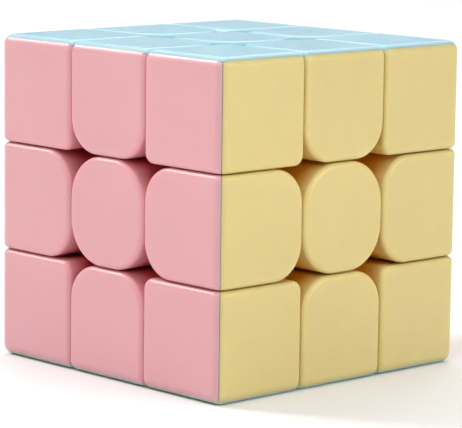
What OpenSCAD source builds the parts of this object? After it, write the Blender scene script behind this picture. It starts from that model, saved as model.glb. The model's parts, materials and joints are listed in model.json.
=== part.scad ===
// Twisty puzzle cube, three layers each way, stickerless, with coloured moulded shells.
//
// The origin is the centre of the cube, where all six turning axes meet. Up is +Z, front is -Y and
// right is +X. Every moving piece is made of the space between three concentric balls:
//   cap  - outside cap_ball_r, where the cuts between layers lie at layer_cut,
//   body - from foot_ball_r to cap_ball_r, where the cuts lie at body_cut, so that a body reaches
//          under the caps beside it and can't be pulled out,
//   foot - from core_ball_r to foot_ball_r, where the cuts lie at foot_cut.
// Balls and flat cuts both stay clear of each other while any face turns through any angle.

/* [Cube] */
// Width of the whole cube
cube_w = 56; // [55:0.5:57]
// Gap between neighbouring pieces
gap = 0.2; // [0.2:0.05:0.4]
// Gap between the coloured parts of one piece
seam = 0.06; // [0.06:0.02:0.2]
// Radius along the outer edges of the cube
cube_edge_r = 1.9; // [0.8:0.1:2.5]
// Thickness of the moulded walls
wall = 1.4; // [1.2:0.1:2]

/* [Face outlines] */
// Corner radius of a centre's square face
centre_r = 7.5; // [5:0.1:8.5]
// Radius of the two inner corners of an edge piece's faces
edge_r = 6; // [3:0.1:6.5]
// Radius of the inner corner of a corner piece's faces
corner_r = 1.8; // [1:0.1:3]

/* [Mechanism] */
// Radius of the ball under the caps
cap_ball_r = 21; // [20.5:0.1:21.5]
// Radius of the ball under the bodies
foot_ball_r = 17; // [16.5:0.1:17.5]
// Radius of the ball inside the feet
core_ball_r = 12.7; // [12.2:0.1:12.9]
// Distance of the layer cuts from the centre, between the bodies
body_cut = 6.4; // [6:0.1:6.8]
// Distance of the layer cuts from the centre, between the feet
foot_cut = 4.2; // [4.2:0.05:4.4]

/* [Core and screws] */
// Radius of the core's hub
hub_r = 7.5; // [6.5:0.25:9]
// Radius of the core's six arms
arm_r = 3.4; // [3:0.1:3.7]
// Distance of an arm's end from the centre
arm_end = 13; // [12.8:0.1:13.2]
// Radius of a tension screw's shaft
screw_r = 1.25; // [1:0.05:1.4]
// Radius of a tension screw's head
screw_head_r = 2.5; // [2.2:0.1:2.7]
// Radius of the wire of a tension spring
wire_r = 0.35; // [0.25:0.05:0.4]
// Turns of a tension spring
spring_turns = 4.5; // [3.5:0.5:5.5]

/* [Hidden] */
$fn = 96;

half_w = cube_w / 2;
layer_cut = cube_w / 6;
half_gap = gap / 2;

// Overlap that welds two overlapping stretches of one moulding together
weld = 0.3;
// The ball at an outer corner of the cube is this much larger than the round edges that it joins
ball_excess = 0.02;
// Larger than anything in the model, for cutting blocks
huge = 2 * cube_w;
// How far a small cutter reaches past the surface that it cuts
over = 1;

// The parts of a tension set: z is a distance from the centre of the cube, t a thickness
running_gap = 0.2;
stack_gap = 0.05;
bore_play = 0.5;
head_room = 1.6;
tube_floor_z = arm_end + running_gap;
tube_floor_t = 1.4;
spring_z = tube_floor_z + tube_floor_t + stack_gap;
spring_len = 5;
washer_z = spring_z + spring_len + stack_gap;
washer_t = 0.4;
washer_hole_r = screw_r + running_gap;
head_z = washer_z + washer_t + stack_gap;
head_t = 1.8;
tube_top_z = head_z + head_t + head_room;
tube_r = foot_cut - half_gap - stack_gap;
tube_bore_r = screw_head_r + bore_play;
pilot_fit = 0.05;
screw_tip_z = 5.5;
recess_w = 0.8;
recess_l = 3;
recess_t = 1;
spring_r = screw_head_r - wire_r;

// The cover of a centre sits on its base with this much room
cover_fit = 0.1;
// Thickness of the seat of a centre's base under the cover
seat_t = 1.5;

// Sides of the spring's wire, and rings to one turn of it
wire_sides = 6;
turn_rings = 12;

UP = 0;
DOWN = 1;
FRONT = 2;
BACK = 3;
RIGHT = 4;
LEFT = 5;

// Each face of the cube: its name, its letter, the way it looks and its colour
FACES = [
    ["up", "u", [0, 0, 1], "#BDE0ED"],
    ["down", "d", [0, 0, -1], "#BFE3C8"],
    ["front", "f", [0, -1, 0], "#E8B0B6"],
    ["back", "b", [0, 1, 0], "#F2C3A2"],
    ["right", "r", [1, 0, 0], "#E2CE92"],
    ["left", "l", [-1, 0, 0], "#CDBBE0"],
];
core_colour = "#D9DCE0";
steel_colour = "#B8BBC0";

function face_name(f) = FACES[f][0];
function letter(f) = FACES[f][1];
function outward(f) = FACES[f][2];
function colour(f) = FACES[f][3];

CORNERS = [for (a = [UP, DOWN]) for (b = [FRONT, BACK]) for (c = [RIGHT, LEFT]) [a, b, c]];
EDGES = concat(
    [for (a = [UP, DOWN]) for (b = [FRONT, BACK, RIGHT, LEFT]) [a, b]],
    [for (a = [FRONT, BACK]) for (b = [RIGHT, LEFT]) [a, b]]
);
CENTRES = [UP, DOWN, FRONT, BACK, RIGHT, LEFT];

function corner_name(c, f) = str("corner_", letter(c[0]), letter(c[1]), letter(c[2]), "_", face_name(f));
function edge_name(e, f) = str("edge_", letter(e[0]), letter(e[1]), "_", face_name(f));
function centre_name(f) = str("centre_", face_name(f));

// A piece is drawn in the corner of space where x, y and z are positive. Its kind says for each
// axis whether the piece lies in the middle layer (true) or in the outer layer (false).
CORNER = [false, false, false];
EDGE = [true, false, false];
CENTRE = [true, true, false];

// ---- Placing ----

// Moves the x, y and z directions of a piece to three other directions
module placed(nx, ny, nz) {
    multmatrix([
        [nx.x, ny.x, nz.x, 0],
        [nx.y, ny.y, nz.y, 0],
        [nx.z, ny.z, nz.z, 0],
        [0, 0, 0, 1]
    ]) children();
}

// Stands a shape that is drawn along +Z on each of the six faces' axes
module on_all_axes() {
    for (f = CENTRES) {
        on_axis(f) children();
    }
}

// Stands a shape that is drawn along +Z on the axis of one face
module on_axis(f) {
    n = outward(f);
    side = [n.y, n.z, n.x];
    placed(side, cross(n, side), n) children();
}

// ---- Space shared by the pieces ----

// The box of a piece of one kind, with separate cuts for its middle and its outer axes
module cell(kind, middle_cut, outer_cut) {
    low = [for (middle = kind) middle ? half_gap - middle_cut : outer_cut + half_gap];
    high = [for (middle = kind) middle ? middle_cut - half_gap : half_w];
    translate(low) cube(high - low);
}

// The space between two balls
module ball_shell(inner_r, outer_r) {
    difference() {
        sphere(outer_r);
        sphere(inner_r);
    }
}

// A rectangle with its own radius at each corner, in the order of a walk round it
module rounded_rect(low, high, radii) {
    spots = [low, [high.x, low.y], high, [low.x, high.y]];
    difference() {
        translate(low) square(high - low);
        for (i = [0:3]) {
            if (radii[i] > 0) {
                translate(spots[i]) rotate(90 * i) difference() {
                    translate([-over, -over]) square(radii[i] + over);
                    translate([radii[i], radii[i]]) circle(radii[i]);
                }
            }
        }
    }
}

// The outline of a cap seen along one axis. A corner between two layers takes inner_r, a corner on
// the cube's outer edge takes cube_edge_r, and a corner where the two meet stays square.
module cap_outline(middle_u, middle_v, inner_r, inset) {
    inner = max(inner_r - inset, 0);
    outer = max(cube_edge_r - inset, 0);
    low_u = middle_u ? half_gap - layer_cut : layer_cut + half_gap;
    low_v = middle_v ? half_gap - layer_cut : layer_cut + half_gap;
    high_u = middle_u ? -low_u : half_w;
    high_v = middle_v ? -low_v : half_w;
    rounded_rect(
        [low_u + inset, low_v + inset],
        [high_u - inset, high_v - inset],
        [
            inner,
            middle_u ? inner : 0,
            middle_u && middle_v ? inner : middle_u || middle_v ? 0 : outer,
            middle_v ? inner : 0
        ]
    );
}

// The block of a cap, as what its outlines along the three axes have in common
module cap_block(kind, inner_r, inset = 0) {
    intersection_for (axis = [0:2]) {
        u = (axis + 1) % 3;
        v = (axis + 2) % 3;
        directions = [for (i = [u, v, axis]) [for (j = [0:2]) i == j ? 1 : 0]];
        placed(directions[0], directions[1], directions[2])
            translate([0, 0, -huge / 2])
                linear_extrude(huge)
                    cap_outline(kind[u], kind[v], inner_r, inset);
    }
}

// What is cut off the cube's outer corner to leave a ball's surface there
module corner_cut() {
    start = half_w - cube_edge_r;
    translate([start, start, start]) difference() {
        cube(cube_edge_r + over);
        sphere(cube_edge_r + ball_excess);
    }
}

// The half of space where z is greater than y, less half a seam
module above_y() {
    rotate([45, 0, 0]) translate([-huge / 2, -huge / 2, seam / 2]) cube(huge);
}

// The half of space where z is greater than x, less half a seam
module above_x() {
    rotate([0, -45, 0]) translate([-huge / 2, -huge / 2, seam / 2]) cube(huge);
}

// The neck that leads down from a cap to its body, through the gap at the cap ball
module neck(kind, inner_r, inset = 0) {
    intersection() {
        cap_block(kind, inner_r, inset);
        cell(kind, body_cut, layer_cut);
        ball_shell(cap_ball_r - half_gap - weld, cap_ball_r + half_gap + weld);
    }
}

// The body of a piece, which reaches under the caps beside it
module body(kind) {
    intersection() {
        cell(kind, body_cut, body_cut);
        ball_shell(foot_ball_r + half_gap, cap_ball_r - half_gap);
    }
}

// ---- Edge and corner pieces ----

// A cap with its hollow, and its neck
module hollow_cap(kind, inner_r) {
    difference() {
        union() {
            difference() {
                cap_block(kind, inner_r);
                sphere(cap_ball_r + half_gap);
                if (kind == CORNER) {
                    corner_cut();
                }
            }
            neck(kind, inner_r);
        }
        difference() {
            cap_block(kind, inner_r, wall);
            sphere(cap_ball_r + wall);
        }
    }
}

// The foot of an edge piece, which reaches under the bodies of the centres, and its neck
module foot(kind) {
    intersection() {
        cell(kind, foot_cut, foot_cut);
        ball_shell(core_ball_r + half_gap, foot_ball_r - half_gap);
    }
    intersection() {
        cell(kind, foot_cut, body_cut);
        ball_shell(foot_ball_r - half_gap - weld, foot_ball_r + half_gap + weld);
    }
}

// The third of a corner piece that shows on its z face
module corner_part() {
    intersection() {
        union() {
            hollow_cap(CORNER, corner_r);
            body(CORNER);
        }
        above_x();
        above_y();
    }
}

// The half of an edge piece that shows on its z face
module edge_part() {
    intersection() {
        union() {
            hollow_cap(EDGE, edge_r);
            body(EDGE);
            foot(EDGE);
        }
        above_y();
    }
}

// One coloured part of a corner piece, placed on face f of corner c
module corner_tile(c, f) {
    others = [for (other = c) if (other != f) outward(other)];
    turned = cross(others[0], others[1]) == outward(f);
    color(colour(f))
        placed(turned ? others[0] : others[1], turned ? others[1] : others[0], outward(f))
            corner_part();
}

// One coloured part of an edge piece, placed on face f of edge e
module edge_tile(e, f) {
    other = outward(e[0] == f ? e[1] : e[0]);
    color(colour(f))
        placed(cross(other, outward(f)), other, outward(f))
            edge_part();
}

// ---- Centre pieces ----

// The cover that snaps over a centre's base: a square lid with round corners
module centre_cover() {
    difference() {
        cap_block(CENTRE, centre_r);
        cap_block(CENTRE, centre_r, wall);
        sphere(cap_ball_r + half_gap);
    }
}

// The base that the core's arm carries: a seat that fills the cover from below, a neck, a body, and
// the tube for screw and spring
module centre_base() {
    difference() {
        union() {
            intersection() {
                cap_block(CENTRE, centre_r, wall + cover_fit);
                ball_shell(cap_ball_r + half_gap, cap_ball_r + half_gap + seat_t);
            }
            neck(CENTRE, centre_r, wall + cover_fit);
            body(CENTRE);
            translate([0, 0, tube_floor_z]) cylinder(h = tube_top_z - tube_floor_z, r = tube_r);
        }
        translate([0, 0, tube_floor_z + tube_floor_t]) cylinder(h = half_w, r = tube_bore_r);
        translate([0, 0, layer_cut]) cylinder(h = half_w, r = screw_r + running_gap);
    }
}

// A centre piece: the cover and the base, which turn together
module centre(f) {
    color(colour(f)) on_axis(f) {
        centre_cover();
        centre_base();
    }
}

// ---- Core and tension sets ----

// The hub with its six arms, each with a pilot hole for a screw
module core() {
    color(core_colour) difference() {
        union() {
            sphere(hub_r);
            on_all_axes() cylinder(h = arm_end, r = arm_r);
        }
        on_all_axes() translate([0, 0, screw_tip_z - stack_gap])
            cylinder(h = arm_end, r = screw_r + pilot_fit);
    }
}

// A pan-head screw with a crossed recess
module screw() {
    difference() {
        union() {
            translate([0, 0, screw_tip_z]) cylinder(h = head_z - screw_tip_z + weld, r = screw_r);
            translate([0, 0, head_z]) cylinder(h = head_t, r = screw_head_r);
        }
        for (angle = [0, 90]) {
            rotate(angle) translate([-recess_l / 2, -recess_w / 2, head_z + head_t - recess_t])
                cube([recess_l, recess_w, recess_t + over]);
        }
    }
}

// The six screws that hold the centres on the core
module tension_screws() {
    color(steel_colour) on_all_axes() screw();
}

// The six washers under the screws' heads
module tension_washers() {
    color(steel_colour) on_all_axes() translate([0, 0, washer_z]) difference() {
        cylinder(h = washer_t, r = screw_head_r);
        translate([0, 0, -over]) cylinder(h = washer_t + 2 * over, r = washer_hole_r);
    }
}

// A point on the surface of the wire: t turns along the coil, and angle round the wire
function wire_point(t, angle) = [
    (spring_r + wire_r * cos(angle)) * cos(360 * t),
    (spring_r + wire_r * cos(angle)) * sin(360 * t),
    wire_r + (spring_len - 2 * wire_r) * t / spring_turns + wire_r * sin(angle)
];

// A coil spring, swept as rings of points along a helix
module spring() {
    rings = floor(spring_turns * turn_rings);
    points = [
        for (i = [0:rings]) for (j = [0:wire_sides - 1])
            wire_point(i / turn_rings, 360 * j / wire_sides)
    ];
    sides = [
        for (i = [0:rings - 1]) for (j = [0:wire_sides - 1])
            let (k = (j + 1) % wire_sides)
                [
                    i * wire_sides + j,
                    (i + 1) * wire_sides + j,
                    (i + 1) * wire_sides + k,
                    i * wire_sides + k
                ]
    ];
    start = [for (j = [0:wire_sides - 1]) j];
    end = [for (j = [wire_sides - 1:-1:0]) rings * wire_sides + j];
    polyhedron(points, concat([start, end], sides));
}

// The six springs that press the centres against the core's arms
module tension_springs() {
    color(steel_colour) on_all_axes() translate([0, 0, spring_z]) spring();
}

core();
tension_screws();
tension_washers();
tension_springs();
for (f = CENTRES) centre(f);
for (e = EDGES) for (f = e) edge_tile(e, f);
for (c = CORNERS) for (f = c) corner_tile(c, f);
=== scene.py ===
"""Looks for the pastel twisty puzzle cube.

Every coloured part gets a finished plastic shell in place of its CAD solid, and the cube stands in
a plain studio.
"""

import json
import math

import bmesh
import bpy
from mathutils import Matrix, Vector


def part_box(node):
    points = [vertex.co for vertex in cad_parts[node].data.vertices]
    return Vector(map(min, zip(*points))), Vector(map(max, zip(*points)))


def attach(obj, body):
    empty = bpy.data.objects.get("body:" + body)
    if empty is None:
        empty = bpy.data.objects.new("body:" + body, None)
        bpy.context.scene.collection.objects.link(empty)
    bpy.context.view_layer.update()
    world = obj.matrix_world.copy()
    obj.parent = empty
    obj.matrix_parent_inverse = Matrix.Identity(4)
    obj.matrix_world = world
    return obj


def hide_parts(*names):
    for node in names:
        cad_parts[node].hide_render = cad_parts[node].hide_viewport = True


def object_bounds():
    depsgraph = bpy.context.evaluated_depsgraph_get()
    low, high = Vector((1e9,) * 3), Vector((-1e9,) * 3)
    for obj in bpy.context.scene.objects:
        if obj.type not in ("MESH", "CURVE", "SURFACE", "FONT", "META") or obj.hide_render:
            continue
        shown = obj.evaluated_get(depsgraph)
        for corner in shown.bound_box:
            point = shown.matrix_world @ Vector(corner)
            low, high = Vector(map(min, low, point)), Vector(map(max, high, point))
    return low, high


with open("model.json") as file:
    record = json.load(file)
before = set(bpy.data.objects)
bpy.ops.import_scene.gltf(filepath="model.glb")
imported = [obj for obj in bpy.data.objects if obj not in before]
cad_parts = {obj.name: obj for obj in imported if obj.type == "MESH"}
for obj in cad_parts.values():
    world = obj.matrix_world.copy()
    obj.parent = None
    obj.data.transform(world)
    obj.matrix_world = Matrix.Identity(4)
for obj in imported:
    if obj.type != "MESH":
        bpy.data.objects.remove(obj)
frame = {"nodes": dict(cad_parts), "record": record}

CAD_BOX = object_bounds()

MM = 0.001
HALF_WIDTH = CAD_BOX[1].x
UP_AXIS = Vector((0, 0, 1))
FACE_DIRECTIONS = ((0, 0, 1), (0, 0, -1), (0, -1, 0), (0, 1, 0), (1, 0, 0), (-1, 0, 0))

# ---- Shells ----

# Radius along the outer edges of the cube
CUBE_EDGE_RADIUS = 1.9 * MM
# Rounding along the rim of each coloured face
RIM_RADIUS = 0.9 * MM
RIM_SEGMENTS = 6
# Broken edge beside the seam between two coloured parts
SEAM_RADIUS = 0.04 * MM
SEAM_SEGMENTS = 2
# How far from the rounded cube's surface a point may lie and still count as on it
SKIN_TOLERANCE = 0.03 * MM
# The two flanks of a seam pass this close to the centre of the cube
SEAM_REACH = 0.2 * MM
# How far a normal's parts may be from those of an exact 45 degrees
LEAN_TOLERANCE = 0.02
WELD_DISTANCE = 0.002 * MM
# Faces that meet at less than this angle are one flat face
FLAT_ANGLE = math.radians(0.3)
# Edges bent more than this angle stay sharp in the shading
SHARP_ANGLE = math.radians(32)


def depth_in_cube(point):
    """How far a point near the outside lies under the surface of the whole round-edged cube."""
    past_flat = [max(0, abs(c) - (HALF_WIDTH - CUBE_EDGE_RADIUS)) for c in point]
    return CUBE_EDGE_RADIUS - math.hypot(*past_flat)


def is_skin(face):
    """True for a face on the outside of the cube, flat or along its round edges and corners."""
    return all(abs(depth_in_cube(v.co)) < SKIN_TOLERANCE for v in face.verts)


def is_seam_flank(face):
    """True for a face that looks across a seam: at 45 degrees, in a plane near the cube's centre."""
    parts = sorted(abs(c) for c in face.normal)
    leans = parts[0] < LEAN_TOLERANCE and abs(parts[1] - parts[2]) < LEAN_TOLERANCE
    return leans and abs(face.normal.dot(face.calc_center_median())) < SEAM_REACH


def border(bm, chosen):
    """The edges between the skin and the other faces that chosen() accepts."""
    edges = []
    for edge in bm.edges:
        if len(edge.link_faces) != 2:
            continue
        a, b = edge.link_faces
        if is_skin(b):
            a, b = b, a
        if is_skin(a) and not is_skin(b) and chosen(b):
            edges.append(edge)
    return edges


def finished_shell(node):
    """A coloured part with round rims, built from its CAD solid, which it replaces."""
    source = frame["nodes"][node]
    bm = bmesh.new()
    bm.from_mesh(source.data)
    bmesh.ops.remove_doubles(bm, verts=bm.verts, dist=WELD_DISTANCE)
    bmesh.ops.dissolve_limit(bm, angle_limit=FLAT_ANGLE, verts=bm.verts, edges=bm.edges)
    bm.normal_update()
    for chosen, radius, segments in (
        (lambda face: not is_seam_flank(face), RIM_RADIUS, RIM_SEGMENTS),
        (is_seam_flank, SEAM_RADIUS, SEAM_SEGMENTS),
    ):
        bmesh.ops.bevel(
            bm,
            geom=border(bm, chosen),
            offset=radius,
            offset_type="OFFSET",
            segments=segments,
            profile=0.5,
            affect="EDGES",
            clamp_overlap=False,
        )
        bm.normal_update()
    mesh = bpy.data.meshes.new(node + "_shell")
    bm.to_mesh(mesh)
    bm.free()
    mesh.shade_smooth()
    mesh.set_sharp_from_angle(angle=SHARP_ANGLE)
    shell = bpy.data.objects.new(node + "_shell", mesh)
    bpy.context.scene.collection.objects.link(shell)
    even = shell.modifiers.new("even_normals", "WEIGHTED_NORMAL")
    even.keep_sharp = True
    return shell


# ---- Springs ----

COIL_RADIUS = 2.15 * MM
WIRE_RADIUS = 0.35 * MM
COIL_LENGTH = 5 * MM
COIL_TURNS = 4.5
RINGS_PER_TURN = 40
WIRE_SIDES = 12
WIRE_SHARP_ANGLE = math.radians(60)


def coil_rings(bottom):
    """For each ring of wire along one coil: the way outward from the coil's axis, and the centre."""
    count = int(COIL_TURNS * RINGS_PER_TURN)
    climb = COIL_LENGTH - 2 * WIRE_RADIUS
    for i in range(count + 1):
        angle = 2 * math.pi * i / RINGS_PER_TURN
        outward = Vector((math.cos(angle), math.sin(angle), 0))
        yield outward, outward * COIL_RADIUS + UP_AXIS * (bottom + WIRE_RADIUS + climb * i / count)


def add_coil(bm, bottom, turn):
    """Sweeps a round wire along a helix, turned onto one axis of the cube."""
    rings = []
    for outward, centre in coil_rings(bottom):
        ring = []
        for j in range(WIRE_SIDES):
            angle = 2 * math.pi * j / WIRE_SIDES
            offset = outward * math.cos(angle) + UP_AXIS * math.sin(angle)
            ring.append(bm.verts.new(turn @ (centre + offset * WIRE_RADIUS)))
        rings.append(ring)
    for low, high in zip(rings, rings[1:]):
        for j in range(WIRE_SIDES):
            k = (j + 1) % WIRE_SIDES
            bm.faces.new((low[j], high[j], high[k], low[k]))
    bm.faces.new(rings[0])
    bm.faces.new(reversed(rings[-1]))


def tension_coils():
    """The six springs as smooth coils in place of the CAD's faceted ones."""
    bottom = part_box("tension_springs")[1].z - COIL_LENGTH
    bm = bmesh.new()
    for direction in FACE_DIRECTIONS:
        turn = UP_AXIS.rotation_difference(Vector(direction)).to_matrix()
        add_coil(bm, bottom, turn)
    bmesh.ops.recalc_face_normals(bm, faces=bm.faces)
    mesh = bpy.data.meshes.new("tension_coils")
    bm.to_mesh(mesh)
    bm.free()
    mesh.shade_smooth()
    mesh.set_sharp_from_angle(angle=WIRE_SHARP_ANGLE)
    coils = bpy.data.objects.new("tension_coils", mesh)
    bpy.context.scene.collection.objects.link(coils)
    return coils


# ---- Materials ----

# How many waves a noise has in one metre
CLOUDS = 55
RIPPLES = 160
MOTTLING = 240
TARNISH = 300
DRAWING_MARKS = 1500
SPECKLES = 1900
NYLON_GRAIN = 4200
ETCHED_GRAIN = 5200
FLOOR_UNEVENNESS = 40
# Nearly all of a noise's values lie between these
NOISE_LOW = 0.3
NOISE_HIGH = 0.7

# Pairs of values: what a material has where its noise is low, and where it is high
PLASTIC_TONE = (0.965, 1.03)
PLASTIC_ROUGHNESS = (0.31, 0.38)
NYLON_TONE = (0.9, 1.06)
NYLON_ROUGHNESS = (0.48, 0.6)
STEEL_TONE = (0.82, 1.08)
STEEL_ROUGHNESS = (0.24, 0.42)
FLOOR_TONE = (0.99, 1.0)
# The speckles' share of the plastic's tone, and how far they move its roughness either way
SPECKLE_TONE = 0.25
SPECKLE_ROUGHNESS = 0.03
# Heights of the unevenness
RIPPLE_HEIGHT = 0.02 * MM
ETCHED_HEIGHT = 0.003 * MM
NYLON_HEIGHT = 0.005 * MM
DRAWING_HEIGHT = 0.004 * MM
# Drawing marks are this much longer along X and Y than along Z
DRAWING_STRETCH = 9
FLOOR_ROUGHNESS = 0.9
FLOOR_SPECULAR = 0.1

PLASTIC_IOR = 1.5
# The light that goes into the coloured plastic: its share, how far it spreads, and how strongly
# the plastic's own colour goes further than the rest
TRANSLUCENCY = 0.7
SCATTER_LENGTH = 2.6 * MM
SCATTER_TINT = 1.5
# Painted shade: far inside the cube the plastic's colour is painted darker and more saturated. This
# stands in for shade and coloured bounce light between the pieces. The change lies between these
# depths.
SHADE_PAINT_START = 0.8 * MM
SHADE_PAINT_END = 5 * MM


class Nodes:
    """A short way to write a node tree."""

    def __init__(self, name):
        self.material = bpy.data.materials.new(name)
        self.material.use_nodes = True
        self.tree = self.material.node_tree
        self.shader = self.tree.nodes["Principled BSDF"]

    def add(self, kind, **settings):
        """A new node. Each setting is the value of one of its inputs or one of its properties."""
        node = self.tree.nodes.new(kind)
        for key, value in settings.items():
            if key in node.inputs:
                node.inputs[key].default_value = value
            else:
                setattr(node, key, value)
        return node

    def link(self, output, target):
        """Joins an output to an input."""
        self.tree.links.new(output, target)

    def noise(self, coordinates, scale, detail):
        """The values of a noise at the coordinates."""
        node = self.add("ShaderNodeTexNoise", Scale=scale, Detail=detail)
        self.link(coordinates, node.inputs["Vector"])
        return node.outputs["Fac"]

    def spread(self, noise, low_value, high_value):
        """Maps the values of a noise onto a stretch."""
        return self.ramp(noise, NOISE_LOW, NOISE_HIGH, low_value, high_value)

    def calculate(self, operation, *values):
        """The result of one Math node on one or two values."""
        node = self.add("ShaderNodeMath", operation=operation)
        for value, socket in zip(values, node.inputs):
            self.link(value, socket)
        return node.outputs[0]

    def ramp(self, value, low, high, low_value, high_value):
        """Maps a value's stretch from low to high onto another stretch."""
        node = self.add("ShaderNodeMapRange")
        for name, number in (
            ("From Min", low),
            ("From Max", high),
            ("To Min", low_value),
            ("To Max", high_value),
        ):
            node.inputs[name].default_value = number
        self.link(value, node.inputs["Value"])
        return node.outputs["Result"]

    def blend(self, factor, first, second):
        """Mixes two colours, each given as a tuple or as the output of a node."""
        node = self.add("ShaderNodeMix", data_type="RGBA")
        self.link(factor, node.inputs["Factor"])
        for socket, colour in zip([s for s in node.inputs if s.type == "RGBA"], (first, second)):
            if isinstance(colour, tuple):
                socket.default_value = (*colour, 1)
            else:
                self.link(colour, socket)
        return next(s for s in node.outputs if s.type == "RGBA")

    def bump(self, height, distance, under=None):
        """The normals of a surface that is uneven by up to a distance, over those under it."""
        node = self.add("ShaderNodeBump", Distance=distance)
        self.link(height, node.inputs["Height"])
        if under is not None:
            self.link(under, node.inputs["Normal"])
        return node.outputs["Normal"]


def tones(colour, factors):
    """The darker and the lighter tone of a colour."""
    return [tuple(min(1, c * factor) for c in colour) for factor in factors]


def painted_shade_mask(n, place):
    """0 near the cube's surface and 1 far inside between the pieces, where the painted shade goes.
    """
    axes = n.add("ShaderNodeSeparateXYZ")
    n.link(place, axes.inputs[0])
    x, y, z = (n.calculate("ABSOLUTE", axis) for axis in axes.outputs)
    reach = n.calculate("MAXIMUM", n.calculate("MAXIMUM", x, y), z)
    return n.ramp(reach, HALF_WIDTH - SHADE_PAINT_START, HALF_WIDTH - SHADE_PAINT_END, 0.0, 1.0)


def moulded_plastic(name, colour, painted_shade_colour):
    """Pastel plastic from a finely etched mould, a little translucent, with painted shade and bounce
    light far inside between the pieces.
    """
    n = Nodes(name)
    place = n.add("ShaderNodeTexCoord").outputs["Object"]
    cloudy = n.noise(place, CLOUDS, 3)
    grain = n.noise(place, ETCHED_GRAIN, 2)
    ripple = n.noise(place, RIPPLES, 2)
    speckle = n.spread(n.noise(place, SPECKLES, 4), 0, 1)

    light = n.spread(cloudy, 0, 1 - SPECKLE_TONE)
    light = n.calculate("ADD", light, n.ramp(speckle, 0, 1, 0, SPECKLE_TONE))
    skin = n.blend(light, *tones(colour, PLASTIC_TONE))
    # Painted shade: far inside between the pieces the colour blends toward a darker, more saturated
    # one
    n.link(n.blend(painted_shade_mask(n, place), skin, painted_shade_colour), n.shader.inputs["Base Color"])

    rough = n.spread(ripple, *PLASTIC_ROUGHNESS)
    rough = n.calculate("ADD", rough, n.ramp(speckle, 0, 1, -SPECKLE_ROUGHNESS, SPECKLE_ROUGHNESS))
    n.link(rough, n.shader.inputs["Roughness"])

    wavy = n.bump(ripple, RIPPLE_HEIGHT)
    n.link(n.bump(grain, ETCHED_HEIGHT, under=wavy), n.shader.inputs["Normal"])

    # Light of the plastic's own colour goes furthest inside it
    reach = tuple((c / max(colour)) ** SCATTER_TINT for c in colour)
    n.shader.inputs["IOR"].default_value = PLASTIC_IOR
    n.shader.inputs["Subsurface Weight"].default_value = TRANSLUCENCY
    n.shader.inputs["Subsurface Radius"].default_value = reach
    n.shader.inputs["Subsurface Scale"].default_value = SCATTER_LENGTH
    return n.material


def nylon(name, colour):
    """The matte, slightly mottled plastic of the core."""
    n = Nodes(name)
    place = n.add("ShaderNodeTexCoord").outputs["Object"]
    mottle = n.noise(place, MOTTLING, 4)
    grain = n.noise(place, NYLON_GRAIN, 2)
    n.link(n.blend(mottle, *tones(colour, NYLON_TONE)), n.shader.inputs["Base Color"])
    n.link(n.spread(mottle, *NYLON_ROUGHNESS), n.shader.inputs["Roughness"])
    n.link(n.bump(grain, NYLON_HEIGHT), n.shader.inputs["Normal"])
    return n.material


def zinc_steel(name, colour):
    """Plated steel with fine drawing marks and a slightly uneven tone."""
    n = Nodes(name)
    place = n.add("ShaderNodeTexCoord").outputs["Object"]
    stretch = n.add("ShaderNodeMapping", Scale=(1, 1, DRAWING_STRETCH))
    n.link(place, stretch.inputs["Vector"])
    marks = n.noise(stretch.outputs["Vector"], DRAWING_MARKS, 5)
    tone = n.noise(place, TARNISH, 3)
    n.link(n.blend(tone, *tones(colour, STEEL_TONE)), n.shader.inputs["Base Color"])
    n.link(n.spread(marks, *STEEL_ROUGHNESS), n.shader.inputs["Roughness"])
    n.link(n.bump(marks, DRAWING_HEIGHT), n.shader.inputs["Normal"])
    n.shader.inputs["Metallic"].default_value = 1
    return n.material


# The plastic of each face: its colour on the outside, and the darker, more saturated colour painted
# far inside as shade and bounce light between the pieces
PLASTIC = {
    "up": ((0.36, 0.575, 0.675), (0.17, 0.47, 0.64)),
    "down": ((0.56, 0.74, 0.60), (0.30, 0.60, 0.36)),
    "front": ((0.80, 0.405, 0.435), (0.70, 0.10, 0.12)),
    "back": ((0.88, 0.50, 0.26), (0.90, 0.34, 0.10)),
    "right": ((0.70, 0.57, 0.245), (0.98, 0.50, 0.05)),
    "left": ((0.53, 0.42, 0.75), (0.36, 0.22, 0.66)),
}
# The material slot that each face's plastic has in the record
SLOT = {
    "up": "blue_plastic",
    "down": "green_plastic",
    "front": "pink_plastic",
    "back": "orange_plastic",
    "right": "yellow_plastic",
    "left": "purple_plastic",
}
CORE_PLASTIC = (0.62, 0.64, 0.68)
STEEL = (0.62, 0.62, 0.64)


def dress(obj, material):
    """Gives an object one material."""
    if not obj.material_slots:
        obj.data.materials.append(material)
    for slot in obj.material_slots:
        slot.link = "OBJECT"
        slot.material = material


# ---- The object ----


def body_of_node(node):
    """The body that a CAD node belongs to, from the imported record."""
    for body, nodes in frame["record"]["behaviour"]["bodies"].items():
        if node in nodes:
            return body
    raise KeyError(node)


def build_shells():
    """Every coloured part, in the plastic of the face that it shows on."""
    plastics = {face: moulded_plastic(SLOT[face], *colours) for face, colours in PLASTIC.items()}
    for node in frame["nodes"]:
        face = node.rsplit("_", 1)[-1]
        if face not in PLASTIC:
            continue
        shell = finished_shell(node)
        dress(shell, plastics[face])
        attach(shell, body_of_node(node))
        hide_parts(node)


def build_inside():
    """The core and the tension sets behind the centres."""
    steel = zinc_steel("steel", STEEL)
    dress(frame["nodes"]["core"], nylon("core_plastic", CORE_PLASTIC))
    for node in ("tension_screws", "tension_washers"):
        dress(frame["nodes"][node], steel)
    coils = tension_coils()
    dress(coils, steel)
    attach(coils, "core")
    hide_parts("tension_springs")


build_shells()
build_inside()

# ---- Studio ----

FLOOR_SIZE = 8.0
# The floor lies this much under the cube, so that their surfaces don't coincide
FLOOR_DROP = 0.02 * MM
FLOOR_COLOUR = (0.82, 0.82, 0.82)
WORLD_COLOUR = (1.0, 1.0, 1.0)
WORLD_STRENGTH = 0.2

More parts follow.
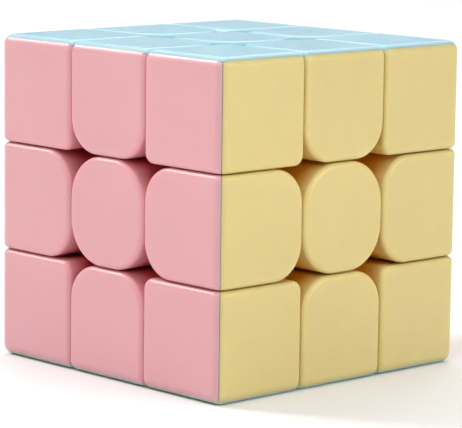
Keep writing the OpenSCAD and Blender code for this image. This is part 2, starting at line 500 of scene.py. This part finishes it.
# The view: a long lens opposite the cube's near vertical edge, a little above it
CAMERA_AZIMUTH = 46.68
CAMERA_ELEVATION = 8.4
CAMERA_DISTANCE = 0.456
CAMERA_AIM = Vector((0.63, 0.08, -2.68)) * MM
CAMERA_ROLL = 0.75
# In millimetres, as Blender wants them
SENSOR_WIDTH = 36
LENS = 205.6

# Each softbox: its name, azimuth, elevation, distance, size, power in watts and colour
SOFTBOXES = (
    ("key", -66, 42, 1.6, 0.42, 14.5, (1.0, 0.985, 0.97)),
    ("front", 32, 36, 0.30, 0.12, 0.17, (1.0, 0.99, 0.98)),
    ("overhead", 45, 80, 1.5, 1.5, 12.0, (1.0, 1.0, 1.0)),
    ("side", 112, 26, 1.3, 0.8, 7.3, (1.0, 0.99, 0.98)),
    ("backdrop", 227, 50, 1.6, 1.0, 10.0, (1.0, 1.0, 1.0)),
)


def from_angles(azimuth, elevation, distance):
    """A place round the origin. Azimuth 0 is in front of the front face and 90 is to its right."""
    a = math.radians(azimuth)
    e = math.radians(elevation)
    return Vector((math.sin(a) * math.cos(e), -math.cos(a) * math.cos(e), math.sin(e))) * distance


def aim(obj, target, roll=0.0):
    """Turns a camera or a light to look at a point."""
    look = (target - obj.location).to_track_quat("-Z", "Y")
    obj.rotation_euler = (look.to_matrix() @ Matrix.Rotation(math.radians(roll), 3, "Z")).to_euler()


def build_camera():
    """The camera that stands where the photo's camera stood."""
    data = bpy.data.cameras.new("camera")
    data.sensor_width = SENSOR_WIDTH
    data.lens = LENS
    camera = bpy.data.objects.new("camera", data)
    camera.location = from_angles(CAMERA_AZIMUTH, CAMERA_ELEVATION, CAMERA_DISTANCE)
    aim(camera, CAMERA_AIM, CAMERA_ROLL)
    bpy.context.scene.collection.objects.link(camera)
    bpy.context.scene.camera = camera


def build_softboxes():
    """The square lights round the cube, all aimed at its centre."""
    for name, azimuth, elevation, distance, size, power, colour in SOFTBOXES:
        data = bpy.data.lights.new(name, "AREA")
        data.shape = "SQUARE"
        data.size = size
        data.energy = power
        data.color = colour
        light = bpy.data.objects.new(name, data)
        light.location = from_angles(azimuth, elevation, distance)
        aim(light, Vector((0, 0, 0)))
        bpy.context.scene.collection.objects.link(light)


def build_floor():
    """A plain pale floor under the cube, faintly uneven in tone."""
    n = Nodes("floor")
    place = n.add("ShaderNodeTexCoord").outputs["Object"]
    uneven = n.noise(place, FLOOR_UNEVENNESS, 3)
    n.link(n.blend(uneven, *tones(FLOOR_COLOUR, FLOOR_TONE)), n.shader.inputs["Base Color"])
    n.shader.inputs["Roughness"].default_value = FLOOR_ROUGHNESS
    n.shader.inputs["Specular IOR Level"].default_value = FLOOR_SPECULAR
    half = FLOOR_SIZE / 2
    mesh = bpy.data.meshes.new("floor")
    corners = [(-half, -half, 0), (half, -half, 0), (half, half, 0), (-half, half, 0)]
    mesh.from_pydata(corners, [], [(0, 1, 2, 3)])
    floor = bpy.data.objects.new("floor", mesh)
    floor.location.z = CAD_BOX[0].z - FLOOR_DROP
    dress(floor, n.material)
    bpy.context.scene.collection.objects.link(floor)


def build_world():
    """A dim and even white all round, behind the softboxes."""
    world = bpy.data.worlds.new("studio")
    world.use_nodes = True
    background = world.node_tree.nodes["Background"]
    background.inputs["Color"].default_value = (*WORLD_COLOUR, 1)
    background.inputs["Strength"].default_value = WORLD_STRENGTH
    bpy.context.scene.world = world


build_camera()
build_softboxes()
build_floor()
build_world()
bpy.context.scene.view_settings.view_transform = "Standard"
